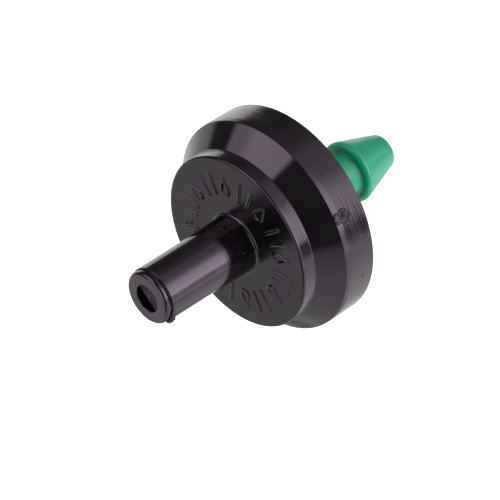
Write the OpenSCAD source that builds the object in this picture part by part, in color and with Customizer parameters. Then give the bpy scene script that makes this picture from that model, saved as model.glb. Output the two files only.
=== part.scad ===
// On-line pressure-compensating drip emitter.
// The frame's origin is the centre of the seat that rests on the pipe wall. +Z runs along the
// axis, from the barb through the body to the outlet spigot. All sizes are in millimetres.

/* [Cover] */
// Radius of the rim, the widest part
rim_r = 10; // [9.8:0.1:10.6]
// Height of the rim's back edge above the pipe seat
rim_back_z = 4.15; // [3.9:0.05:4.3]
// Length of the rim's cylindrical side
rim_h = 3.22; // [3.1:0.02:3.5]
// Height of the cone between the rim and the front disc
cone_h = 1.88; // [1.7:0.02:2.1]
// Radius of the front disc
disc_r = 8.13; // [8:0.01:8.4]
// Height of the front disc's side
disc_h = 1.35; // [1.2:0.05:1.6]
// Rounding of the front disc's edge
disc_round = 0.2; // [0.1:0.05:0.3]
// Rounding of the ridge between the cone and the rim
ridge_round = 0.1; // [0.05:0.05:0.2]
// Wall thickness
wall = 1.1; // [1:0.05:1.15]

/* [Outlet spigot] */
// Length from the disc's face to the spigot's end
spigot_h = 10.28; // [9:0.02:12]
// Radius of the cylinder that a tube pushes over
spigot_r = 2.54; // [2.54:0.01:2.6]
// Length of that cylinder
spigot_grip = 5; // [4:0.5:6]
// Radius at the spigot's root, where its draft ends
spigot_root_r = 2.68; // [2.65:0.01:2.8]
// Fillet at the root
root_fillet = 0.3; // [0.2:0.05:0.4]
// Radius of the end cap beyond the grip
end_r = 2.37; // [2.3:0.01:2.38]
// Length of the end cap
end_h = 0.7; // [0.5:0.05:0.8]
// Rounding of the end cap
end_round = 0.15; // [0.1:0.01:0.3]
// Radius of the water bore
bore_r = 1.26; // [1:0.02:1.4]

/* [Barbed inlet] */
// Radius of the neck that sits in the pipe wall
neck_r = 2.1; // [1.9:0.05:2.2]
// Length of the neck
neck_h = 3.05; // [2:0.05:3.5]
// Greatest radius of the barb's shoulder
shoulder_r = 2.9; // [2.6:0.05:3]
// Rounding of the shoulder
shoulder_round = 0.46; // [0.3:0.02:0.46]
// Distance from the pipe seat to the barb's tip
barb_h = 7.9; // [7:0.1:9]
// Radius of the barb's tip
tip_r = 1.66; // [1.5:0.02:1.8]
// Rounding of the barb's tip
tip_round = 0.4; // [0.2:0.05:0.5]
// Radius of the inlet bore
inlet_r = 0.8; // [0.6:0.05:1]
// Radius of the collar that seats on the pipe
collar_r = 3.3; // [3.1:0.1:3.4]

/* [Inside] */
// Thickness of the silicone diaphragm
diaphragm_h = 1; // [0.8:0.1:1.1]
// Travel of the diaphragm between its support ribs and the sealing land
lift = 0.28; // [0.2:0.02:0.4]
// Thickness of the labyrinth disc
labyrinth_h = 1.8; // [1.7:0.1:2]
// Depth of the labyrinth channel
channel_h = 0.8; // [0.6:0.05:0.9]
// Number of tooth pairs in each lane of the labyrinth
tooth_pairs = 16; // [10:1:18]

/* [Marks] */
// Number of repeats of the group of raised marks on the front disc
mark_groups = 8; // [4:1:9]
// Height of the marks
mark_h = 0.12; // [0.08:0.02:0.2]
// Width of their strokes
mark_w = 0.26; // [0.2:0.02:0.34]

/* [Hidden] */
$fn = 96;
arc_steps = 6;
eps = 0.01;

// Heights of the cover
ridge_z = rim_back_z + rim_h;
disc_side_z = ridge_z + cone_h;
face_z = disc_side_z + disc_h;
spigot_top_z = face_z + spigot_h;
end_step_z = spigot_top_z - end_h;
draft_z = end_step_z - spigot_grip;
ceiling_z = face_z - wall;

// Cavity of the cover: a narrow chamber under the disc, a cone, and a wide skirt
chamber_r = disc_r - wall;
skirt_r = rim_r - wall;
cone_deg = atan2(rim_r - disc_r, cone_h);
cone_low_z = cavity_cone_z(skirt_r);
cone_high_z = cavity_cone_z(chamber_r);

// Snap joint between the cover and the base
snap_z = rim_back_z + 1.5;
snap_half = 0.35;
groove_depth = 0.3;
bead_height = 0.25;
join_gap = 0.05;

// Gate boss on the rim
gate_r = 0.7;
gate_deg = 253;
gate_z = 6.4;
gate_proud = 0.15;
gate_sunk = 0.5;

// Stack inside the cover
contact_gap = 0.01;
labyrinth_z = ceiling_z - labyrinth_h;
support_z = labyrinth_z - lift - diaphragm_h - 2 * contact_gap;
diaphragm_z = support_z + contact_gap;
rib_h = 0.4;
rib_w = 0.7;
rib_gap = 0.3;
plate_top_z = support_z - rib_h;
plate_z = rim_back_z + 0.4;

// Rings of the base that locate the labyrinth disc and the diaphragm
ring_r = chamber_r - 0.25;
ring_w = 0.75;
pocket_r = ring_r - ring_w;
diaphragm_r = pocket_r - 0.3;
slot_w = 1.4;
flange_r = skirt_r - join_gap;
flange_w = 0.95;
flange_chamfer = 0.2;
flange_top_z = cone_low_z - 0.05;
stations = 6;

// Filter, its seat and the space under it
filter_r = 2.75;
filter_gap = 0.03;
filter_h = 0.8;
filter_hole_r = 0.24;
filter_pitch = 0.85;
filter_rings = 2;
filter_z = plate_top_z - filter_h;
plenum_r = 2.3;
plenum_z = filter_z - 0.5;

// Hub between the base's plate and the collar
hub_r = 5.6;
collar_h = 0.9;
collar_chamfer = 0.15;
neck_fillet = 0.15;
gusset_w = 0.8;
gusset_low_z = 1.4;
gusset_reach = 1.5;
gusset_foot = 0.4;

// Labyrinth: two ring-shaped lanes with teeth, joined at their far ends
outer_lane = [4.9, 6.3];
inner_lane = [3.05, 4.45];
lane_deg = 346;
lane_margin = 6;
mask_margin = 1.1;
tooth_reach = 0.58;
tooth_share = 0.62;
tooth_root = 0.1;
crossing_deg = 342;
crossing_w = 0.7;
crossing_inset = 0.2;
notch_w = 1;
transfer_r = 0.4;
transfer_deg = 2;
seat_hole_r = 0.9;
seat_r = 2;
seat_drop = 0.25;
recess_h = 0.5;
recess_r = 4.6;
labyrinth_gap = 0.1;

// Marks on the disc's face: their shares of a group's angle, and their shape
mark_shares = [1 / 5, 8 / 15, 4 / 5];
mark_r = 5.65;
mark_len = 2.1;
drop_r = 0.55;

// Height of the cavity's cone at a radius: the outer cone moved inwards by one wall
function cavity_cone_z(r) =
    ridge_z + (rim_r - r) * cone_h / (rim_r - disc_r) - wall / sin(cone_deg);

// Points along an arc, from one angle to another
function arc(centre, r, from, to) =
    [for (i = [0:arc_steps]) let (a = from + (to - from) * i / arc_steps)
        centre + r * [cos(a), sin(a)]];

// Angle of the normal of the line that touches two circles from outside
function tangent_angle(a, ra, b, rb) =
    let (d = a - b) atan2(d[1], d[0]) - acos((rb - ra) / norm(d));

// Cover: disc, cone, rim and spigot as one moulding, open at the back
module outlet_cover() {
    ridge_pull = ridge_round * tan(cone_deg / 2);
    profile = concat(
        [[bore_r, spigot_top_z]],
        arc([end_r - end_round, spigot_top_z - end_round], end_round, 90, 0),
        [[end_r, end_step_z], [spigot_r, end_step_z], [spigot_r, draft_z]],
        arc([spigot_root_r + root_fillet, face_z + root_fillet], root_fillet, 180, 270),
        arc([disc_r - disc_round, face_z - disc_round], disc_round, 90, 0),
        [[disc_r, disc_side_z]],
        arc([rim_r - ridge_round, ridge_z - ridge_pull], ridge_round, 90 - cone_deg, 0),
        [[rim_r, rim_back_z], [skirt_r, rim_back_z],
         [skirt_r, snap_z - snap_half], [skirt_r + groove_depth, snap_z],
         [skirt_r, snap_z + snap_half], [skirt_r, cone_low_z],
         [chamber_r, cone_high_z], [chamber_r, ceiling_z], [bore_r, ceiling_z]]);
    color("#1c1b1d") union() {
        rotate_extrude() polygon(profile);
        gate_boss();
        face_marks();
    }
}

// Stub where the moulding's runner was cut off
module gate_boss() {
    rotate(gate_deg) translate([rim_r - gate_sunk, 0, gate_z]) rotate([0, 90, 0])
        cylinder(r = gate_r, h = gate_sunk + gate_proud, $fn = 48);
}

// Raised marks around the spigot: a drop outline and then two bars, again and again
module face_marks() {
    group_deg = 360 / mark_groups;
    translate([0, 0, face_z - eps]) linear_extrude(mark_h + eps)
        for (i = [0:mark_groups - 1]) {
            rotate((i + mark_shares[0]) * group_deg) translate([mark_r, 0]) drop_outline();
            rotate((i + mark_shares[1]) * group_deg) translate([mark_r, 0]) bar();
            rotate((i + mark_shares[2]) * group_deg) translate([mark_r, 0]) bar();
        }
}

// Radial stroke, centred
module bar() {
    square([mark_len, mark_w], center = true);
}

// Outline of a drop whose point is towards the rim
module drop_outline() {
    tip = mark_len - drop_r;
    inner_r = drop_r - mark_w;
    translate([drop_r - mark_len / 2, 0]) difference() {
        drop(drop_r, tip);
        drop(inner_r, tip * inner_r / drop_r);
    }
}

// Circle with two tangents that meet at a distance from its centre
module drop(r, tip) {
    touch = acos(r / tip);
    circle(r, $fn = 32);
    polygon([[tip, 0], r * [cos(touch), sin(touch)], r * [cos(touch), -sin(touch)]]);
}

// Labyrinth disc: toothed channel on top, outlet seat and regulating chamber underneath
module labyrinth_disc() {
    color("#3fa57c") difference() {
        translate([0, 0, labyrinth_z]) cylinder(r = chamber_r - labyrinth_gap, h = labyrinth_h);
        translate([0, 0, labyrinth_z - eps])
            cylinder(r = seat_hole_r, h = labyrinth_h + 2 * eps);
        regulating_chamber();
        translate([0, 0, ceiling_z - channel_h]) linear_extrude(channel_h + eps) {
            lane(outer_lane);
            lane(inner_lane);
            lane_crossing();
        }
        inlet_notch();
        transfer_hole();
    }
}

// Ring-shaped chamber over the diaphragm, around the lowered outlet seat
module regulating_chamber() {
    translate([0, 0, labyrinth_z - eps]) difference() {
        cylinder(r = recess_r, h = recess_h + eps);
        translate([0, 0, seat_drop]) cylinder(r = seat_r, h = recess_h + eps);
    }
}

// Way in from the disc's edge to the start of the outer lane
module inlet_notch() {
    translate([diaphragm_r, -notch_w / 2, labyrinth_z - eps])
        cube([chamber_r, notch_w, labyrinth_h + 2 * eps]);
}

// Way down from the end of the inner lane to the regulating chamber
module transfer_hole() {
    rotate(transfer_deg) translate([(inner_lane[0] + inner_lane[1]) / 2, 0, labyrinth_z - eps])
        cylinder(r = transfer_r, h = labyrinth_h, $fn = 32);
}

// Short radial channel between the far ends of the two lanes
module lane_crossing() {
    rotate(crossing_deg) translate([inner_lane[0] + crossing_inset, 0])
        square([outer_lane[1] - inner_lane[0] - 2 * crossing_inset, crossing_w]);
}

// One lane: a ring sector with staggered teeth left standing in it
module lane(radii) {
    pitch = (lane_deg - 2 * lane_margin) / tooth_pairs;
    difference() {
        intersection() {
            difference() {
                circle(radii[1]);
                circle(radii[0]);
            }
            sector_mask(radii[1]);
        }
        for (i = [0:tooth_pairs - 1]) {
            tooth(radii[1], radii[0], lane_margin + (i + 0.25) * pitch, pitch);
            tooth(radii[0], radii[1], lane_margin + (i + 0.75) * pitch, pitch);
        }
    }
}

// Triangular tooth that stands on one wall of a lane and reaches towards the other
module tooth(foot_r, far_r, at_deg, pitch) {
    half = pitch * tooth_share / 2;
    foot = foot_r + tooth_root * sign(foot_r - far_r);
    tip = foot_r + (far_r - foot_r) * tooth_reach;
    polygon([foot * [cos(at_deg - half), sin(at_deg - half)],
             tip * [cos(at_deg), sin(at_deg)],
             foot * [cos(at_deg + half), sin(at_deg + half)]]);
}

// Fan that covers the lane's angle and reaches past its outer radius
module sector_mask(r) {
    steps = 12;
    reach = r * mask_margin;
    polygon(concat([[0, 0]],
        [for (i = [0:steps]) let (a = lane_deg * i / steps) reach * [cos(a), sin(a)]]));
}

// Diaphragm: a loose silicone disc with rounded edges
module diaphragm() {
    edge = diaphragm_h / 5;
    top_z = diaphragm_z + diaphragm_h;
    color("#e8e2d2") rotate_extrude() polygon(concat(
        [[0, diaphragm_z]],
        arc([diaphragm_r - edge, diaphragm_z + edge], edge, -90, 0),
        arc([diaphragm_r - edge, top_z - edge], edge, 0, 90),
        [[0, top_z]]));
}

// Inlet filter: a moulded disc with rings of fine holes around a central one
module inlet_filter() {
    color("#3fa57c") difference() {
        translate([0, 0, filter_z]) cylinder(r = filter_r, h = filter_h);
        filter_hole(0, 0);
        for (ring = [1:filter_rings]) for (i = [0:6 * ring - 1])
            filter_hole(ring * filter_pitch, i * 60 / ring);
    }
}

module filter_hole(at_r, at_deg) {
    rotate(at_deg) translate([at_r, 0, filter_z - eps])
        cylinder(r = filter_hole_r, h = filter_h + 2 * eps, $fn = 24);
}

// Base: barb, neck, collar, hub, and the plate that closes the cover
module inlet_base() {
    bulge = [shoulder_r - shoulder_round, -neck_h - shoulder_round];
    nose = [tip_r - tip_round, tip_round - barb_h];
    slope = tangent_angle(bulge, shoulder_round, nose, tip_round);
    filter_seat_r = filter_r + filter_gap;
    profile = concat(
        [[inlet_r, -barb_h]],
        arc(nose, tip_round, -90, slope),
        arc(bulge, shoulder_round, slope, 90),
        arc([neck_r + neck_fillet, -neck_h + neck_fillet], neck_fillet, 270, 180),
        [[neck_r, 0], [collar_r - collar_chamfer, 0], [collar_r, collar_chamfer],
         [collar_r, collar_h], [hub_r, plate_z],
         [flange_r - flange_chamfer, plate_z], [flange_r, plate_z + flange_chamfer],
         [flange_r, snap_z - snap_half], [flange_r + bead_height, snap_z],
         [flange_r, snap_z + snap_half], [flange_r, flange_top_z],
         [flange_r - flange_w, flange_top_z], [flange_r - flange_w, plate_top_z],
         [ring_r, plate_top_z], [ring_r, labyrinth_z], [pocket_r, labyrinth_z],
         [pocket_r, plate_top_z], [filter_seat_r, plate_top_z], [filter_seat_r, filter_z],
         [plenum_r, filter_z], [plenum_r, plenum_z], [inlet_r, plenum_z]]);
    color("#2f9e74") difference() {
        union() {
            rotate_extrude() polygon(profile);
            for (i = [0:stations - 1]) rotate(i * 360 / stations) {
                rotate(180 / stations) support_rib(filter_seat_r + rib_gap);
                hub_gusset();
            }
        }
        for (i = [0:stations - 1]) rotate(i * 360 / stations) ring_slot();
    }
}

// Low rib that holds the slack diaphragm off the plate
module support_rib(from_r) {
    translate([from_r, -rib_w / 2, plate_top_z - eps])
        cube([pocket_r + ring_w / 2 - from_r, rib_w, rib_h + eps]);
}

// Gap in the locating ring that lets water reach the labyrinth's notch
module ring_slot() {
    translate([pocket_r - ring_w / 2, -slot_w / 2, plate_top_z])
        cube([2 * ring_w, slot_w, labyrinth_z - plate_top_z + eps]);
}

// Gusset that braces the hub against the plate
module hub_gusset() {
    root_r = collar_r - gusset_foot;
    rotate([90, 0, 0]) linear_extrude(gusset_w, center = true)
        polygon([[root_r, gusset_low_z], [collar_r + gusset_foot, gusset_low_z],
                 [hub_r + gusset_reach, plate_z - gusset_foot],
                 [hub_r + gusset_reach, plate_z + gusset_foot],
                 [root_r, plate_z + gusset_foot]]);
}

outlet_cover();
labyrinth_disc();
diaphragm();
inlet_filter();
inlet_base();
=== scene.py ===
import math

import bmesh
import bpy
import numpy as np
from mathutils import Matrix, Vector, noise


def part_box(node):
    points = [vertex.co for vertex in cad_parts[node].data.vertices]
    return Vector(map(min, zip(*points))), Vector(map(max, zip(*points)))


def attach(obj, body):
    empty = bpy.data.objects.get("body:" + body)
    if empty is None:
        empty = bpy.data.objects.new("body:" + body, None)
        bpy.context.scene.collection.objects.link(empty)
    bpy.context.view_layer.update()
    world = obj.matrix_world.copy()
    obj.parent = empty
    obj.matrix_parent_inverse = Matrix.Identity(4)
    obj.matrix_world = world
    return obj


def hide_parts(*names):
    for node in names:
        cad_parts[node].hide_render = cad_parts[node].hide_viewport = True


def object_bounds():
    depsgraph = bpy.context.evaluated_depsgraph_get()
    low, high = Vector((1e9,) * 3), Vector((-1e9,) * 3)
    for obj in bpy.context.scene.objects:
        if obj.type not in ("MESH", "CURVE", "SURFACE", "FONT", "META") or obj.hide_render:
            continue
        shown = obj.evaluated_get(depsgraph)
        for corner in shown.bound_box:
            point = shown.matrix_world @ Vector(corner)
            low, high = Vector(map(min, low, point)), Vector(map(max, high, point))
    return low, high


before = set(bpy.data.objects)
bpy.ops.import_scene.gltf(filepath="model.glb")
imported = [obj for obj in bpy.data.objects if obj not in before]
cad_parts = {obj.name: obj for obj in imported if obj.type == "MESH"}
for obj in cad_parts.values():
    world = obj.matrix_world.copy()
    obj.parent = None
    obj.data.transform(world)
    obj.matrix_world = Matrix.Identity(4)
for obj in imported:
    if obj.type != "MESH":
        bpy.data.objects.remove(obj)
cad_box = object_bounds()

# Lengths in this script are millimetres, and MM turns them into the frame's metres.
MM = 0.001
cover_low, cover_high = (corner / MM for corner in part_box("outlet_cover"))
base_low, base_high = (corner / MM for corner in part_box("inlet_base"))
filter_low, filter_high = (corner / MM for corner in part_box("inlet_filter"))
labyrinth_low, _ = (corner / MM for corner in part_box("labyrinth_disc"))

# ---- Cover: the driving sizes of the moulding that holds the outlet
RIM_R = cover_high.x
RIM_BACK_Z = cover_low.z
TOP_Z = cover_high.z
RIM_H = 3.22
CONE_H = 1.88
DISC_H = 1.35
RIDGE_Z = RIM_BACK_Z + RIM_H
DISC_SIDE_Z = RIDGE_Z + CONE_H
FACE_Z = DISC_SIDE_Z + DISC_H
DISC_R = 8.13
BROW_H = 0.5  # height of the rim's slightly rounded edge under the ridge
BROW_LEAN = 0.045  # how far that edge leans in
BROW_ROUND = 2.5
RIM_DEPTH = 0.1  # how far in from its greatest radius the rim's surface counts as rim
WALL = 1.1
CHAMBER_R = DISC_R - WALL
SKIRT_R = RIM_R - WALL
CEILING_Z = FACE_Z - WALL
CONE_LEAN = math.atan2(RIM_R - DISC_R, DISC_SIDE_Z - RIDGE_Z)
CONE_LOW_Z = RIDGE_Z + (RIM_R - SKIRT_R) / math.tan(CONE_LEAN) - WALL / math.sin(CONE_LEAN)
CONE_HIGH_Z = RIDGE_Z + (RIM_R - CHAMBER_R) / math.tan(CONE_LEAN) - WALL / math.sin(CONE_LEAN)
SNAP_RISE = 1.5
SNAP_Z = RIM_BACK_Z + SNAP_RISE
SNAP_HALF = 0.35
SNAP_DEPTH = 0.3
SPIGOT_R = 2.55
SPIGOT_DRAFT = 0.03
SPIGOT_ROOT_R = 2.68
SPIGOT_ROOT_ROUND = 0.3
GRIP = 5.0
END_R = 2.42
END_H = 0.66
END_ROUND = 0.3
END_STEP_Z = TOP_Z - END_H
GROOVE = 0.22  # height of the groove under the end cap
BORE_R = 1.26
FACE_START_R = SPIGOT_ROOT_R + 0.35  # the face's grain starts here, outside the spigot's root
NEAR = 0.05  # this near a flat surface counts as that surface

# ---- Base: barb, neck, collar, hub, and the plate that closes the cover
INLET_R = 0.8
BARB_TIP_Z = base_low.z
BARB_TIP_R = 1.587  # where the barb's cone would meet its flat end
BARB_TOP_R = 3.06  # where the barb's cone would meet the shoulder's plane
NECK_R = 2.1
NECK_H = 3.05
COLLAR_R = 3.3
COLLAR_H = 0.9
HUB_R = 5.6
PLATE_SUNK = 0.4
PLATE_Z = RIM_BACK_Z + PLATE_SUNK
PLATE_TOP_Z = filter_high.z
CLEARANCE = 0.05
FLANGE_R = SKIRT_R - CLEARANCE
FLANGE_W = 0.95
FLANGE_TOP_Z = CONE_LOW_Z - CLEARANCE
BEAD_R = base_high.x
LABYRINTH_Z = labyrinth_low.z
LOCATING_GAP = 0.25
LOCATING_W = 0.75
LOCATING_R = CHAMBER_R - LOCATING_GAP
POCKET_R = LOCATING_R - LOCATING_W
SLOT_DEG = 6.6
FILTER_GAP = 0.03
FILTER_SEAT_R = filter_high.x + FILTER_GAP
FILTER_Z = filter_low.z
PLENUM_R = 2.3
PLENUM_H = 0.5
STATIONS = 6
RIB_W = 0.7
RIB_H = 0.4
RIB_ROUND = 0.05
RIB_START = 0.3  # how far outside the filter's seat a rib starts
GUSSET_W = 0.8
GUSSET_LOW_Z = 1.4
GUSSET_REACH = 1.5
GUSSET_FOOT = 0.4
GUSSET_ROUND = 0.1

# ---- Roundings of the edges and the longest steps between rings, which several corners share
SHARP = 0.04
CRISP = 0.07
EDGE = 0.1
SOFT = 0.2
BARB_ROUND = 0.4
MARK_STEP = 0.06
SHORT_STEP = 0.5
LONG_STEP = 1
HIDDEN_STEP = 3
SUNK = 0.1  # how deep a shell of its own is sunk into its neighbour

# ---- Raised marks on the disc's face
MARK_GROUPS = 8
MARK_SHARES = (1 / 5, 8 / 15, 4 / 5)  # places of a drop and two bars within a group's angle
MARK_R = 5.65
MARK_LENGTH = 2.1
MARK_WIDTH = 0.26
MARK_HEIGHT = 0.13
MARK_SOFTNESS = 0.13
DROP_R = 0.55
MARK_MARGIN = 0.25
MARKS_IN = MARK_R - MARK_LENGTH / 2 - MARK_MARGIN
MARKS_OUT = MARK_R + MARK_LENGTH / 2 + MARK_MARGIN

# ---- What the mould left: gate stub, burr at the spigot's end, skin in the bore
GATE_DEG = 253.0
GATE_Z = 6.4
GATE_R = 0.7
GATE_PROUD = 0.17
GATE_TORN = 0.55 * GATE_PROUD  # the stub is torn under this height
PAD_W = 0.55
PAD_H = 0.28
PAD_PROUD = 0.13
PAD_OVERLAP = 0.06
PAD_SUNK = 0.04
BURR_DEG = 196.0
BURR_SPREAD = 16.0
BURR_RAGS = 8
BURR_REACH = 0.36
BURR_W = 0.17
BURR_H = 0.3
CROSS_DEG = 216.4
CROSS_Z = 5.4
CROSS_SIZE = (0.26, 0.06)
CROSS_PROUD = 0.07
FLASH_DEG = 281.6
FLASH_RISE = 0.1
FLASH_SUNK = 0.05
FLASH_SIZE = (0.16, 0.09)
FLASH_PROUD = 0.16
SKIN_DEPTH = 0.36
SKIN_RISE = 0.1
SKIN_HEIGHT = 0.25
SKIN_CHORD = 0.3
SKIN_LIP = 0.06
SKIN_BEAD = 0.1
SKIN_BEAD_R = 0.17

# ---- Lathe
COLUMNS = 360
FINE = 2  # columns of the face with the marks, for each other column
ARC_DEG = 18
SUPPORT = 0.06  # a ring this near each end of a straight run keeps its shading flat

# ---- Camera: it looks along +Y and down, and is rolled, so that the outlet points to the left
CAMERA_TARGET = (-1.17, -0.40, 9.99)
CAMERA_DISTANCE = 185.5
CAMERA_ELEVATION = 33.04
CAMERA_ROLL = 122.5
CAMERA_LENS = 157.06
SENSOR = 36.0
CLIP = (10.0, 10000.0)

FLOOR_DROP = 25.0
FLOOR_HALF = 1500.0
FLOOR_SHADE = 0.9
FLOOR_GLOW = 0.5

# ---- Colours and surface depths of the materials
COAL = ((0.0022, 0.0019, 0.0024), (0.0052, 0.0046, 0.0056))
SPECK = (0.16, 0.15, 0.155)
SPECK_SIZE = 0.05
TORN_PALE = (0.25, 0.24, 0.25)
VIOLET_SHINE = (0.99, 0.80, 0.99, 1)
LEAST_ROUGHNESS = 0.04
STREAK_ROUGHNESS = 0.15
STREAK_DEPTH = 0.011
GRAIN_DEPTH = 0.006
JADE = ((0.007, 0.245, 0.140), (0.010, 0.280, 0.166))
MILK = ((0.66, 0.62, 0.53), (0.80, 0.77, 0.70))
SMOOTH_UP_TO_DEG = 35


# ---------------------------------------------------------------- materials

class Nodes:
    """Short calls that materials and the sky share. A value is a number or a node's output."""

    def link(self, value, socket):
        if isinstance(value, bpy.types.NodeSocket):
            self.tree.links.new(value, socket)
        else:
            socket.default_value = value

    def math(self, operation, *values):
        node = self.tree.nodes.new("ShaderNodeMath")
        node.operation = operation
        for socket, value in zip(node.inputs, values):
            self.link(value, socket)
        return node.outputs[0]

    def map_range(self, value, low_in, high_in, low=0.0, high=1.0, interpolation="LINEAR"):
        node = self.tree.nodes.new("ShaderNodeMapRange")
        node.interpolation_type = interpolation
        self.link(value, node.inputs["Value"])
        for name, number in (("From Min", low_in), ("From Max", high_in),
                             ("To Min", low), ("To Max", high)):
            node.inputs[name].default_value = number
        return node.outputs["Result"]


class Material(Nodes):
    """A Principled material and short calls for the nodes that these materials need."""

    def __init__(self, name, **values):
        self.data = bpy.data.materials.new(name)
        self.data.use_nodes = True
        self.tree = self.data.node_tree
        self.shader = self.tree.nodes["Principled BSDF"]
        for socket, value in values.items():
            self.shader.inputs[socket.replace("_", " ")].default_value = value
        place = self.tree.nodes.new("ShaderNodeTexCoord").outputs["Object"]
        self.place = self.vector("SCALE", place, scale=1 / MM)

    def vector(self, operation, *values, scale=None):
        node = self.tree.nodes.new("ShaderNodeVectorMath")
        node.operation = operation
        for socket, value in zip(node.inputs, values):
            self.link(value, socket)
        if scale is not None:
            node.inputs["Scale"].default_value = scale
        return node.outputs[0]

    def noise(self, place, scale, detail=2.0, roughness=0.5):
        node = self.tree.nodes.new("ShaderNodeTexNoise")
        self.link(place, node.inputs["Vector"])
        node.inputs["Scale"].default_value = scale
        node.inputs["Detail"].default_value = detail
        node.inputs["Roughness"].default_value = roughness
        return node.outputs["Fac"]

    def turned(self, along, around):
        """Coordinates that change quickly along the part's profile and slowly around its axis."""
        split = self.tree.nodes.new("ShaderNodeSeparateXYZ")
        self.link(self.place, split.inputs[0])
        flat = self.vector("MULTIPLY", self.place, (1.0, 1.0, 0.0))
        radius = self.vector_length(flat)
        direction = self.vector("MULTIPLY", self.vector("NORMALIZE", flat), (around, around, 0.0))
        profile = self.math("ADD", self.math("MULTIPLY", radius, along),
                            self.math("MULTIPLY", split.outputs["Z"], along))
        join = self.tree.nodes.new("ShaderNodeCombineXYZ")
        self.link(profile, join.inputs["Z"])
        return self.vector("ADD", direction, join.outputs[0])

    def vector_length(self, value):
        node = self.tree.nodes.new("ShaderNodeVectorMath")
        node.operation = "LENGTH"
        self.link(value, node.inputs[0])
        return node.outputs["Value"]

    def spread(self, value, low, high, low_in=0.3, high_in=0.7):
        """A noise value stretched to run from low to high."""
        return self.map_range(value, low_in, high_in, low, high)

    def blend(self, factor, first, second):
        node = self.tree.nodes.new("ShaderNodeMix")
        node.data_type = "RGBA"
        self.link(factor, node.inputs["Factor"])
        for name, colour in (("A", first), ("B", second)):
            self.link((*colour, 1) if isinstance(colour, tuple) else colour, node.inputs[name])
        return node.outputs["Result"]

    def dust(self, scale, size):
        """1 on small scattered specks of a size in millimetres, and 0 elsewhere."""
        node = self.tree.nodes.new("ShaderNodeTexVoronoi")
        self.link(self.place, node.inputs["Vector"])
        node.inputs["Scale"].default_value = scale
        return self.spread(node.outputs["Distance"], 1, 0, size * scale * 0.6, size * scale)

    def bump(self, height, distance, normal=None):
        """A bump of a depth in millimetres."""
        node = self.tree.nodes.new("ShaderNodeBump")
        node.inputs["Distance"].default_value = distance * MM
        self.link(height, node.inputs["Height"])
        if normal is not None:
            self.link(normal, node.inputs["Normal"])
        return node.outputs["Normal"]

    def finish(self, colour, roughness, normal):
        self.link(colour, self.shader.inputs["Base Color"])
        self.link(roughness, self.shader.inputs["Roughness"])
        self.link(normal, self.shader.inputs["Normal"])
        return self.data


def black_plastic(name, gloss, streaks, grain, specular, whitening=0):
    """Carbon-black acetal. The gloss is the lowest and highest roughness, the streaks are the
    turned mould's, the grain is the resin's skin, and the whitening is what tearing leaves."""
    m = Material(name, IOR=1.5, Specular_Tint=VIOLET_SHINE, Specular_IOR_Level=specular)
    cloud = m.noise(m.place, scale=0.35, detail=4)
    colour = m.blend(m.spread(cloud, 0, 1), *COAL)
    colour = m.blend(m.dust(scale=0.85, size=SPECK_SIZE), colour, SPECK)
    if whitening:
        torn = m.noise(m.place, scale=3.5, detail=3)
        pale = m.spread(torn, 0, whitening, low_in=0.48, high_in=0.68)
        colour = m.blend(pale, colour, TORN_PALE)
    rings = m.noise(m.turned(along=5.5, around=1.1), scale=1.0, detail=3, roughness=0.65)
    fine = m.noise(m.place, scale=9, detail=3, roughness=0.6)
    patches = m.noise(m.place, scale=1.1, detail=3)
    rough = m.math("ADD", m.spread(patches, *gloss),
                   m.spread(rings, -STREAK_ROUGHNESS * streaks, STREAK_ROUGHNESS * streaks))
    normal = m.bump(rings, STREAK_DEPTH * streaks)
    normal = m.bump(fine, GRAIN_DEPTH * grain, normal)
    return m.finish(colour, m.math("MAXIMUM", rough, LEAST_ROUGHNESS), normal)


def green_plastic(name):
    """Unfilled acetal in green: a little light passes into it, and its skin is smooth."""
    m = Material(name, IOR=1.48, Subsurface_Weight=0.9, Subsurface_Scale=0.0022,
                 Subsurface_Radius=(0.2, 1.0, 0.75))
    cloud = m.noise(m.place, scale=0.45, detail=3)
    colour = m.blend(m.spread(cloud, 0, 1), *JADE)
    patches = m.noise(m.place, scale=1.6, detail=3)
    rings = m.noise(m.turned(along=5, around=1.5), scale=1.0, detail=2)
    fine = m.noise(m.place, scale=5, detail=3, roughness=0.6)
    normal = m.bump(rings, distance=0.002)
    normal = m.bump(fine, distance=0.004, normal=normal)
    return m.finish(colour, m.spread(patches, low=0.28, high=0.36), normal)


def silicone_rubber(name):
    """Milky silicone with a faint dust bloom."""
    m = Material(name, IOR=1.41, Subsurface_Weight=0.5, Subsurface_Scale=0.001,
                 Subsurface_Radius=(1.0, 0.8, 0.6))
    bloom = m.noise(m.place, scale=0.8, detail=5)
    colour = m.blend(m.spread(bloom, 0, 1), *MILK)
    normal = m.bump(m.noise(m.place, scale=6, detail=4), distance=0.01)
    return m.finish(colour, m.spread(bloom, low=0.38, high=0.6), normal)


# ---------------------------------------------------------------- mesh tools

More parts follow.
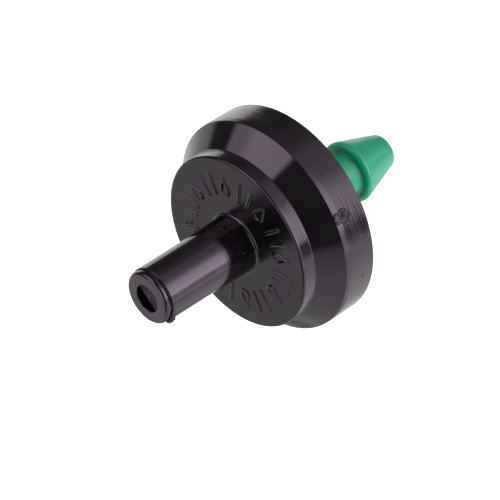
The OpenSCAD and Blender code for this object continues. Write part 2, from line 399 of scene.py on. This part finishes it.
def rounded(corners):
    """Points of a closed outline whose corners are turned into arcs. A corner is its radius from
    the axis, its height, its rounding and the longest step of the run that starts there."""
    arcs = []
    for i, (r, z, rounding, step) in enumerate(corners):
        here = np.array((r, z), float)
        before = np.array(corners[i - 1][:2]) - here
        after = np.array(corners[(i + 1) % len(corners)][:2]) - here
        before /= np.linalg.norm(before)
        after /= np.linalg.norm(after)
        half = math.acos(max(-1.0, min(1.0, float(before @ after)))) / 2
        if rounding == 0:
            arcs.append([here])
            continue
        middle = before + after
        centre = here + middle / np.linalg.norm(middle) * rounding / math.sin(half)
        start = here + before * rounding / math.tan(half) - centre
        end = here + after * rounding / math.tan(half) - centre
        turn = math.pi - 2 * half
        steps = max(2, math.ceil(math.degrees(turn) / ARC_DEG))
        arcs.append([centre + (math.sin(turn * (1 - k / steps)) * start
                               + math.sin(turn * k / steps) * end) / math.sin(turn)
                     for k in range(steps + 1)])
    points = []
    for i, arc in enumerate(arcs):
        points.extend(arc)
        step = corners[i][3]
        if step:
            start, end = arc[-1], arcs[(i + 1) % len(arcs)][0]
            span = np.linalg.norm(end - start)
            count = math.ceil(span / step)
            places = {k / count for k in range(1, count)}
            if SUPPORT < step and 4 * SUPPORT < span:
                places |= {SUPPORT / span, 1 - SUPPORT / span}
            points.extend(start + (end - start) * place for place in sorted(places))
    return np.array(points)


def ring_of(r, z, columns):
    """Points of a whole ring around the axis."""
    turn = np.arange(columns) * 2 * math.pi / columns
    return np.stack([r * np.cos(turn), r * np.sin(turn), np.full(columns, z)], 1)


def between_rings(a, b):
    """Faces between two rings of vertex numbers. One ring may have a multiple of the other's."""
    share = len(b) // len(a)
    if share >= 1:
        return [(a[i], *(b[(i * share + k) % len(b)] for k in range(share + 1)),
                 a[(i + 1) % len(a)]) for i in range(len(a))]
    return [tuple(reversed(face)) for face in between_rings(b, a)]


class Shells:
    """Closed shells that are gathered into one mesh."""

    def __init__(self):
        self.points = []
        self.faces = []
        self.kinds = []

    def add(self, points, faces, kinds):
        offset = sum(len(p) for p in self.points)
        self.points.append(np.asarray(points, float))
        self.faces.extend(tuple(offset + v for v in face) for face in faces)
        self.kinds.extend([kinds] * len(faces) if isinstance(kinds, int) else kinds)

    def piece(self, name, body, slot, materials, replaced):
        mesh = bpy.data.meshes.new(name)
        mesh.from_pydata(np.concatenate(self.points) * MM, [], self.faces)
        for material in materials:
            mesh.materials.append(material)
        mesh.polygons.foreach_set("material_index", self.kinds)
        mesh.shade_smooth()
        mesh.validate()
        piece = bpy.data.objects.new(name, mesh)
        bpy.context.scene.collection.objects.link(piece)
        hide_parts(replaced)
        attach(piece, body)
        return piece


def add_lathe(shells, outline, kind):
    """A closed section turned once around the axis."""
    points = np.concatenate([ring_of(r, z, COLUMNS) for r, z in outline])
    rings = [range(i * COLUMNS, (i + 1) * COLUMNS) for i in range(len(outline))]
    faces = []
    for i, ring in enumerate(rings):
        faces.extend(between_rings(ring, rings[(i + 1) % len(rings)]))
    shells.add(points, faces, kind)


def add_sector(shells, outline, start_deg, end_deg, kind):
    """A closed section turned through part of a circle, a column a degree, with flat ends."""
    count = len(outline)
    columns = math.ceil(end_deg - start_deg)
    points = []
    for k in range(columns + 1):
        turn = math.radians(start_deg + (end_deg - start_deg) * k / columns)
        points.extend((r * math.cos(turn), r * math.sin(turn), z) for r, z in outline)
    faces = [tuple(range(count)), tuple(reversed(range(columns * count, (columns + 1) * count)))]
    for k in range(columns):
        for i in range(count):
            a, b = k * count, (k + 1) * count
            t = (i + 1) % count
            faces.append((a + i, b + i, b + t, a + t))
    shells.add(points, faces, kind)


def add_plate(shells, outline, thickness, rounding, deg, kind):
    """A flat plate that stands in a plane through the axis, with rounded edges."""
    form = bmesh.new()
    sides = [[form.verts.new((r, y, z)) for r, z in outline]
             for y in (-thickness / 2, thickness / 2)]
    form.faces.new(sides[0])
    form.faces.new(list(reversed(sides[1])))
    for i in range(len(outline)):
        t = (i + 1) % len(outline)
        form.faces.new((sides[0][t], sides[0][i], sides[1][i], sides[1][t]))
    bmesh.ops.recalc_face_normals(form, faces=form.faces)
    bmesh.ops.bevel(form, geom=form.edges[:], offset=rounding, offset_type="OFFSET", segments=3,
                    profile=0.5, affect="EDGES")
    form.verts.ensure_lookup_table()
    form.verts.index_update()
    turn = Matrix.Rotation(math.radians(deg), 4, "Z")
    points = [turn @ vert.co for vert in form.verts]
    shells.add(points, [tuple(vert.index for vert in face.verts) for face in form.faces], kind)
    form.free()


# ---------------------------------------------------------------- cover

def stroke(distance):
    """Height of a raised stroke at a distance from its middle line."""
    t = np.clip((MARK_WIDTH / 2 + MARK_SOFTNESS / 2 - distance) / MARK_SOFTNESS, 0, 1)
    return MARK_HEIGHT * t * t * (3 - 2 * t)


def bar_distance(x, y):
    half = (MARK_LENGTH - MARK_WIDTH) / 2
    return np.hypot(x - np.clip(x, -half, half), y)


def drop_distance(x, y):
    """Distance to the outline of a drop: a circle near the spigot and two tangents to a point."""
    r = DROP_R - MARK_WIDTH / 2
    reach = (MARK_LENGTH - DROP_R) * r / DROP_R
    x = x - (DROP_R - MARK_LENGTH / 2)
    y = np.abs(y)
    lean = r / reach
    along = math.sqrt(1 - lean * lean)
    k = x * along - y * lean
    side = x * lean + y * along - r
    past_point = np.where(k > along * reach, np.hypot(x - reach, y), side)
    return np.abs(np.where(k < 0, np.hypot(x, y) - r, past_point))


def mark_height(points):
    """Height of the marks above the face at each point."""
    turn = np.degrees(np.arctan2(points[:, 1], points[:, 0]))
    radius = np.hypot(points[:, 0], points[:, 1])
    height = np.zeros(len(points))
    group = 360 / MARK_GROUPS
    for i in range(MARK_GROUPS):
        for share, shape in zip(MARK_SHARES, (drop_distance, bar_distance, bar_distance)):
            off = np.radians((turn - (i + share) * group + 180) % 360 - 180)
            distance = shape(radius * np.cos(off) - MARK_R, radius * np.sin(off))
            height = np.maximum(height, np.where(np.abs(off) < 0.5, stroke(distance), 0))
    return height


def cover_outline():
    """The cover's section, from the bore's mouth over the outside and back through the cavity."""
    # radius, height, rounding, longest step of the run to the next corner
    return [(BORE_R, TOP_Z, CRISP, 0.6), (END_R, TOP_Z, END_ROUND, SHORT_STEP),
            (END_R, END_STEP_Z + GROOVE, EDGE, 0),
            (END_R - GROOVE / 2, END_STEP_Z, SHARP, 0),
            (SPIGOT_R - SPIGOT_DRAFT, END_STEP_Z, CRISP, 1.3),
            (SPIGOT_R, END_STEP_Z - GRIP, 0, 0.8),
            (SPIGOT_ROOT_R, FACE_Z, SPIGOT_ROOT_ROUND, SHORT_STEP),
            (MARKS_IN, FACE_Z, 0, MARK_STEP), (MARKS_OUT, FACE_Z, 0, SHORT_STEP),
            (DISC_R, FACE_Z, SOFT, 0.6), (DISC_R, DISC_SIDE_Z, 0.08, 0.7),
            (RIM_R - BROW_LEAN, RIDGE_Z, EDGE, 0.2), (RIM_R, RIDGE_Z - BROW_H, BROW_ROUND, 0.9),
            (RIM_R, RIM_BACK_Z, SHARP, LONG_STEP),
            (SKIRT_R, RIM_BACK_Z, EDGE, LONG_STEP), (SKIRT_R, SNAP_Z - SNAP_HALF, EDGE, 0),
            (SKIRT_R + SNAP_DEPTH, SNAP_Z, EDGE, 0),
            (SKIRT_R, SNAP_Z + SNAP_HALF, EDGE, HIDDEN_STEP),
            (SKIRT_R, CONE_LOW_Z, SOFT, HIDDEN_STEP), (CHAMBER_R, CONE_HIGH_Z, SOFT, HIDDEN_STEP),
            (CHAMBER_R, CEILING_Z, 0.15, HIDDEN_STEP), (BORE_R, CEILING_Z, EDGE, HIDDEN_STEP)]


GLOSS, FACE, RIM, TORN, END, SKIN = range(6)  # material numbers on the cover


def cover_kind(r, z):
    if z > FACE_Z - NEAR and r > FACE_START_R:
        return FACE
    if r > RIM_R - RIM_DEPTH:
        return RIM
    if z > TOP_Z - NEAR:
        return END
    return GLOSS


def add_cover_body(shells):
    outline = rounded(cover_outline())
    near = 1e-6
    rings = []
    points = []
    count = 0
    for r, z in outline:
        marked = abs(z - FACE_Z) < near and MARKS_IN - near <= r <= MARKS_OUT + near
        ring = ring_of(r, z, COLUMNS * (FINE if marked else 1))
        if marked:
            ring[:, 2] += mark_height(ring)
        rings.append(range(count, count + len(ring)))
        points.append(ring)
        count += len(ring)
    faces = []
    kinds = []
    for i, ring in enumerate(rings):
        follow = (i + 1) % len(rings)
        new = between_rings(ring, rings[follow])
        faces.extend(new)
        middle = (outline[i] + outline[follow]) / 2
        kinds.extend([cover_kind(*middle)] * len(new))
    shells.add(np.concatenate(points), faces, kinds)


def add_dome(shells, at, out, across, size, height, sunk, kind, low=None, spokes=24, hoops=8):
    """A closed low shell: height(u, v) gives how far it stands out at a place in its unit disc.
    Where that is under the low height, the surface is torn."""
    up = np.cross(out, across)
    points = [at + out * height(0.0, 0.0)]
    for h in range(1, hoops + 1):
        for s in range(spokes):
            angle = 2 * math.pi * s / spokes
            u, v = h / hoops * math.cos(angle), h / hoops * math.sin(angle)
            points.append(at + across * (u * size[0]) + up * (v * size[1]) + out * height(u, v))
    points.append(at - out * sunk)
    faces = [(0, 1 + s, 1 + (s + 1) % spokes) for s in range(spokes)]
    for h in range(hoops - 1):
        for s in range(spokes):
            a, b = 1 + h * spokes, 1 + (h + 1) * spokes
            t = (s + 1) % spokes
            faces.append((a + s, b + s, b + t, a + t))
    last = 1 + (hoops - 1) * spokes
    faces.extend((last + (s + 1) % spokes, last + s, len(points) - 1) for s in range(spokes))
    if low is None:
        shells.add(points, faces, kind)
        return
    rise = [float((np.asarray(point) - at) @ out) for point in points]
    kinds = [TORN if max(rise[v] for v in face) < low else kind for face in faces]
    shells.add(points, faces, kinds)


def rough_noise(x, y, place):
    """Rugged noise of a few octaves. The place picks one of many patterns."""
    fade, step, octaves = 0.6, 2.2, 4
    return noise.fractal(Vector((x, y, place)), fade, step, octaves)


def directions(deg):
    """Outward and sideways at an angle around the axis."""
    turn = math.radians(deg)
    return (np.array((math.cos(turn), math.sin(turn), 0)),
            np.array((-math.sin(turn), math.cos(turn), 0)))


def above(z):
    return np.array((0, 0, z))


def add_gate_stub(shells):
    """The stub of the runner: a ring around a torn star-shaped core, and a pad up to the ridge."""
    out, across = directions(GATE_DEG)
    ring_at, ring_w = 0.84, 0.07
    star_r, star_wave, star_arms, star_turn = 0.50, 0.22, 5, 0.7
    lip_at, lip_sunk = 0.88, 0.04
    root = 0.5

    def stub(u, v):
        radius = math.hypot(u, v)
        angle = math.atan2(v, u)
        ring = math.exp(-((radius - ring_at) / ring_w) ** 2)
        arm = star_r + star_wave * math.cos(star_arms * angle + star_turn)
        star = max(0.0, 1 - radius / arm)
        torn = 0.5 * rough_noise(3.6 * u, 3.6 * v, 4.2) * max(0.0, 1 - radius ** 6)
        lip = max(0.0, 1 - max(0.0, radius - lip_at) / (1 - lip_at))
        rise = GATE_PROUD * (0.2 + 0.55 * ring + 0.7 * star + torn)
        curve = (u * GATE_R) ** 2 / (2 * RIM_R)
        return rise * lip - lip_sunk * (1 - lip) - curve

    add_dome(shells, out * RIM_R + above(GATE_Z), out, across, (GATE_R, GATE_R), stub, root, GLOSS,
             low=GATE_TORN, spokes=80, hoops=28)

    def pad(u, v):
        edge = 1 - (abs(u) ** 4 + abs(v) ** 4)
        wave = 0.2 * rough_noise(1.8 * u, 1.8 * v, 9.1)
        curve = (u * PAD_W) ** 2 / (2 * RIM_R)
        return PAD_PROUD * max(-0.5, min(1.0, 2 * edge)) * (1 + wave) - curve

    at = out * (RIM_R - PAD_SUNK) + above(RIDGE_Z - PAD_H)
    add_dome(shells, at, out, across, (PAD_W, PAD_H + PAD_OVERLAP), pad, root, RIM,
             spokes=64, hoops=20)


def add_burr(shells):
    """A torn rag of flash at the spigot's end step."""
    for k in range(BURR_RAGS):
        out, across = directions(BURR_DEG + BURR_SPREAD * (2 * k / (BURR_RAGS - 1) - 1))
        reach = BURR_REACH - 0.035 * abs(k - 2)
        below = 0.02 + 0.09 * (k % 2)
        size = (BURR_W, BURR_H - 0.05 * (k % 3))

        def rag(u, v, place=2.7 * k, reach=reach):
            fall = max(0.0, 1 - u * u - v * v)
            rough = rough_noise(1.7 * u, 1.7 * v, place)
            return reach * (0.85 * math.sqrt(fall) + 0.5 * fall * rough)

        at = out * (SPIGOT_R - SUNK) + above(END_STEP_Z - below)
        add_dome(shells, at, out, across, size, rag, SUNK, TORN if k % 2 else RIM,
                 spokes=32, hoops=12)


def add_bore_skin(shells):
    """A thin web across one side of the bore, just inside its mouth. Its free edge is a lip."""
    top = TOP_Z - SKIN_DEPTH
    outer = BORE_R + SUNK
    low = SKIN_CHORD * BORE_R
    reach = math.acos(-low / outer)
    kinds = []
    arc_count, depth_count = 54, 22
    grid = []
    for i in range(arc_count + 1):
        side = -reach + 2 * reach * i / arc_count
        rim = np.array((outer * math.sin(side), -outer * math.cos(side)))
        chord = np.array((rim[0], low))
        for j in range(depth_count + 1):
            t = j / depth_count
            x, y = chord + (rim - chord) * t
            sag = 0.05 * rough_noise(1.4 * x, 1.4 * y, 1.3)
            lip = SKIN_LIP * math.exp(-(t / 0.1) ** 2)
            bead_x, bead_y = (x + 0.1) / SKIN_BEAD_R, (y + 0.05) / SKIN_BEAD_R
            bead = SKIN_BEAD * math.exp(-bead_x ** 2 - bead_y ** 2)
            grid.append((x, y, top + lip + sag + bead + SKIN_RISE * t))
            smooth = t < 0.08 or bead > 0.02
            kinds.append(GLOSS if smooth else SKIN)
    row = depth_count + 1
    count = len(grid)
    under = [(x, y, z - SKIN_HEIGHT) for x, y, z in grid]
    faces = []
    for i in range(arc_count):
        for j in range(depth_count):
            a, b = i * row + j, (i + 1) * row + j
            faces.append((a, a + 1, b + 1, b))
            faces.append((count + a, count + b, count + b + 1, count + a + 1))
        a, b = i * row, (i + 1) * row
        faces.append((a, b, count + b, count + a))
        a, b = a + depth_count, b + depth_count
        faces.append((a, count + a, count + b, b))
    for i, flip in ((0, False), (arc_count, True)):
        for j in range(depth_count):
            a = i * row + j
            face = (a, count + a, count + a + 1, a + 1)
            faces.append(tuple(reversed(face)) if flip else face)
    shells.add(grid + under, faces, [kinds[face[0] % count] for face in faces])


def add_mould_marks(shells):
    """A small raised cross on the rim, and a tick of flash at the rim's back edge."""
    root = 0.2

    def cross(u, v):
        return CROSS_PROUD * (1 - u * u - v * v) - 0.02

    def tick(u, v):
        return FLASH_PROUD * (1 - u * u - v * v)

    out, side = directions(CROSS_DEG)
    for lean in (-1, 1):
        across = (side + above(lean)) / math.sqrt(2)
        add_dome(shells, out * RIM_R + above(CROSS_Z), out, across, CROSS_SIZE, cross, root, RIM)
    out, across = directions(FLASH_DEG)
    at = out * (RIM_R - FLASH_SUNK) + above(RIM_BACK_Z + FLASH_RISE)
    add_dome(shells, at, out, across, FLASH_SIZE, tick, root, RIM)


def make_cover():
    shells = Shells()
    add_cover_body(shells)
    add_gate_stub(shells)
    add_mould_marks(shells)
    add_burr(shells)
    add_bore_skin(shells)
    gloss = black_plastic("black_gloss", gloss=(0.05, 0.10), streaks=0.3, grain=0.5, specular=0.5)
    face = black_plastic("black_face", gloss=(0.13, 0.2), streaks=0.1, grain=1.6, specular=0.42)
    rim = black_plastic("black_rim", gloss=(0.11, 0.18), streaks=1.0, grain=1.0, specular=0.5)
    torn = black_plastic("black_torn", gloss=(0.3, 0.5), streaks=0.2, grain=6.0, specular=0.4,
                         whitening=0.4)
    end = black_plastic("black_end", gloss=(0.14, 0.2), streaks=0.2, grain=0.7, specular=0.88)
    skin = black_plastic("black_skin", gloss=(0.3, 0.45), streaks=0.3, grain=4.0, specular=0.3)
    shells.piece("outlet_cover_moulding", "housing", "cover_plastic",
                 [gloss, face, rim, torn, end, skin], "outlet_cover")


# ---------------------------------------------------------------- base

def base_outline():
    """The base's section, from the inlet's mouth over the barb and the plate and down the bore."""
    # radius, height, rounding, longest step of the run to the next corner
    return [(INLET_R, BARB_TIP_Z, 0.12, SHORT_STEP),
            (BARB_TIP_R, BARB_TIP_Z, BARB_ROUND, LONG_STEP),
            (BARB_TOP_R, -NECK_H, BARB_ROUND, SHORT_STEP), (NECK_R, -NECK_H, SOFT, LONG_STEP),
            (NECK_R, 0, 0.12, SHORT_STEP), (COLLAR_R, 0, 0.18, SHORT_STEP),
            (COLLAR_R, COLLAR_H, 0.15, LONG_STEP),
            (HUB_R, PLATE_Z, 0.3, LONG_STEP), (FLANGE_R, PLATE_Z, SOFT, 0.6),
            (FLANGE_R, SNAP_Z - SNAP_HALF, EDGE, 0), (BEAD_R, SNAP_Z, EDGE, 0),
            (FLANGE_R, SNAP_Z + SNAP_HALF, EDGE, LONG_STEP), (FLANGE_R, FLANGE_TOP_Z, EDGE, 0.6),
            (FLANGE_R - FLANGE_W, FLANGE_TOP_Z, EDGE, LONG_STEP),
            (FLANGE_R - FLANGE_W, PLATE_TOP_Z, 0.15, LONG_STEP),
            (FILTER_SEAT_R, PLATE_TOP_Z, 0.06, SHORT_STEP), (FILTER_SEAT_R, FILTER_Z, 0.05, 0.6),
            (PLENUM_R, FILTER_Z, 0.06, SHORT_STEP), (PLENUM_R, FILTER_Z - PLENUM_H, EDGE, 0.6),
            (INLET_R, FILTER_Z - PLENUM_H, EDGE, 2)]


def make_base():
    shells = Shells()
    add_lathe(shells, rounded(base_outline()), 0)
    foot_z = PLATE_TOP_Z - SUNK
    locating = rounded([(POCKET_R, foot_z, 0, 0), (LOCATING_R, foot_z, 0, 0),
                        (LOCATING_R, LABYRINTH_Z, 0.08, 0), (POCKET_R, LABYRINTH_Z, 0.08, 0)])
    root_r = COLLAR_R - GUSSET_FOOT
    gusset_r = HUB_R + GUSSET_REACH
    gusset = [(root_r, GUSSET_LOW_Z), (COLLAR_R + GUSSET_FOOT, GUSSET_LOW_Z),
              (gusset_r, PLATE_Z - GUSSET_FOOT), (gusset_r, PLATE_Z + GUSSET_FOOT),
              (root_r, PLATE_Z + GUSSET_FOOT)]
    rib_start, rib_end = FILTER_SEAT_R + RIB_START, (POCKET_R + LOCATING_R) / 2
    rib = [(rib_start, foot_z), (rib_end, foot_z),
           (rib_end, PLATE_TOP_Z + RIB_H), (rib_start, PLATE_TOP_Z + RIB_H)]
    step = 360 / STATIONS
    for i in range(STATIONS):
        add_sector(shells, locating, i * step + SLOT_DEG, (i + 1) * step - SLOT_DEG, 0)
        add_plate(shells, gusset, GUSSET_W, GUSSET_ROUND, i * step, 0)
        add_plate(shells, rib, RIB_W, RIB_ROUND, (i + 0.5) * step, 0)
    shells.piece("inlet_base_moulding", "housing", "base_plastic", [green_plastic("green_acetal")],
                 "inlet_base")


def dress(node, material):
    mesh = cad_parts[node].data
    mesh.materials.clear()
    mesh.materials.append(material)
    mesh.shade_smooth()
    mesh.set_sharp_from_angle(angle=math.radians(SMOOTH_UP_TO_DEG))


make_cover()
make_base()
insert = green_plastic("insert_acetal")
for node, material in (("labyrinth_disc", insert), ("inlet_filter", insert),
                       ("diaphragm", silicone_rubber("silicone"))):
    dress(node, material)


# ---------------------------------------------------------------- stage

def make_camera():
    data = bpy.data.cameras.new("camera")
    data.lens = CAMERA_LENS
    data.sensor_width = SENSOR
    camera = bpy.data.objects.new("camera", data)
    bpy.context.scene.collection.objects.link(camera)
    elevation = math.radians(CAMERA_ELEVATION)
    back = Vector((0, -math.cos(elevation), math.sin(elevation)))
    upright = (-back).to_track_quat("-Z", "Y").to_matrix().to_4x4()
    roll = Matrix.Rotation(math.radians(-CAMERA_ROLL), 4, "Z")
    place = Matrix.Translation((Vector(CAMERA_TARGET) + back * CAMERA_DISTANCE) * MM)
    camera.matrix_world = place @ upright @ roll
    data.clip_start, data.clip_end = (limit * MM for limit in CLIP)
    bpy.context.scene.camera = camera


def make_floor(low_z):
    z = low_z - FLOOR_DROP * MM
    half = FLOOR_HALF * MM
    mesh = bpy.data.meshes.new("floor")
    mesh.from_pydata([(-half, -half, z), (half, -half, z), (half, half, z), (-half, half, z)],
                     [], [(0, 1, 2, 3)])
    floor = bpy.data.objects.new("floor", mesh)
    bpy.context.scene.collection.objects.link(floor)
    m = Material("pale_floor", Roughness=1, Specular_IOR_Level=0,
                 Base_Color=(FLOOR_SHADE, FLOOR_SHADE, FLOOR_SHADE, 1),
                 Emission_Color=(1, 1, 1, 1), Emission_Strength=FLOOR_GLOW)
    mesh.materials.append(m.data)
    floor.visible_glossy = False
    floor.visible_diffuse = False
    floor.visible_transmission = False
    floor.visible_shadow = False


class Sky(Nodes):
    """World shader: the light of the studio as panels on a sphere, by direction.
    Azimuth 0 is +Y, away from the camera, and 90 is +X."""

    def __init__(self, base):
        world = bpy.data.worlds.new("studio")
        bpy.context.scene.world = world
        world.use_nodes = True
        self.tree = world.node_tree
        self.background = self.tree.nodes["Background"]
        self.background.inputs["Color"].default_value = (1, 1, 1, 1)
        coordinates = self.tree.nodes.new("ShaderNodeTexCoord")
        split = self.tree.nodes.new("ShaderNodeSeparateXYZ")
        self.tree.links.new(coordinates.outputs["Generated"], split.inputs[0])
        azimuth = self.math("ARCTAN2", split.outputs[0], split.outputs[1])
        self.azimuth = self.math("DEGREES", azimuth)
        self.elevation = self.math("DEGREES", self.math("ARCSINE", split.outputs[2]))
        self.total = base

    def between(self, value, low, high, soft):
        """Two factors, smooth steps around low and high, whose product is 1 between them.
        The softness is one number, or one for each side."""
        start, end = soft if isinstance(soft, tuple) else (soft, soft)
        return (self.map_range(value, low - start / 2, low + start / 2, 0, 1, "SMOOTHSTEP"),
                self.map_range(value, high + end / 2, high - end / 2, 0, 1, "SMOOTHSTEP"))

    def panel(self, radiance, azimuths, elevations, soft_azimuth, soft_elevation):
        """Adds light between two azimuths and two elevations, with soft edges."""
        middle = (azimuths[0] + azimuths[1]) / 2
        half = (azimuths[1] - azimuths[0]) / 2
        turned = self.math("SUBTRACT", self.azimuth, middle)
        turned = self.math("WRAP", turned, 180, -180)
        light = radiance
        for factor in (*self.between(turned, -half, half, soft_azimuth),
                       *self.between(self.elevation, *elevations, soft_elevation)):
            light = self.math("MULTIPLY", factor, light)
        self.total = self.math("ADD", self.total, light)

    def finish(self):
        self.link(self.total, self.background.inputs["Strength"])


SKY_BASE = 0.12
# radiance, azimuths, elevations, softness of the azimuths' ends, softness of the elevations' ends
SKY_PANELS = (
    # the white tent behind and below the object, with a dimmer upper part and a seam
    (0.85, (-115, 30), (-90, 45), (10, 20), 20),
    (0.85, (30, 62), (-90, 8.5), (20, 8), (14, 3)),
    (-0.3, (-78, 8), (-31, 33), (24, 14), (6, 24)),
    (-0.4, (-30, 10), (-26, -8), 14, 10),
    (-0.35, (-52, -18), (-32.5, -22), 12, (4, 10)),
    (0.6, (30, 58), (-90, -10), (30, 10), 20),
    # the tent's bright side, a fold in it, and the side light
    (0.6, (-117, -60), (-90, 28), (8, 50), 24),
    (2.2, (-138, -113), (-32.5, 10), 8, (4, 20)),
    (1.6, (-184, -149), (-80, 8), (44, 8), 20),
    (2.2, (-151, -137), (-34.5, 8), 8, (5, 20)),
    (3.1, (-184, -137), (-35.5, 8), (44, 8), (5, 20)),
    (0.75, (137, 166), (-60, -15), (24, 6), 20),
    (0.2, (108, 140), (-90, -10), 30, 20),
    # the box light over the far side
    (1.6, (69, 134), (22, 60), 3, (3, 10)),
    (1.3, (88, 134), (22, 60), (16, 3), (3, 10)),
    # the ceiling
    (1.6, (-180, 180), (62, 91), 0.1, 10),
)


def make_light():
    sky = Sky(SKY_BASE)
    for panel in SKY_PANELS:
        sky.panel(*panel)
    sky.finish()


make_camera()
make_floor(cad_box[0].z)
make_light()
bpy.context.scene.view_settings.view_transform = "Standard"
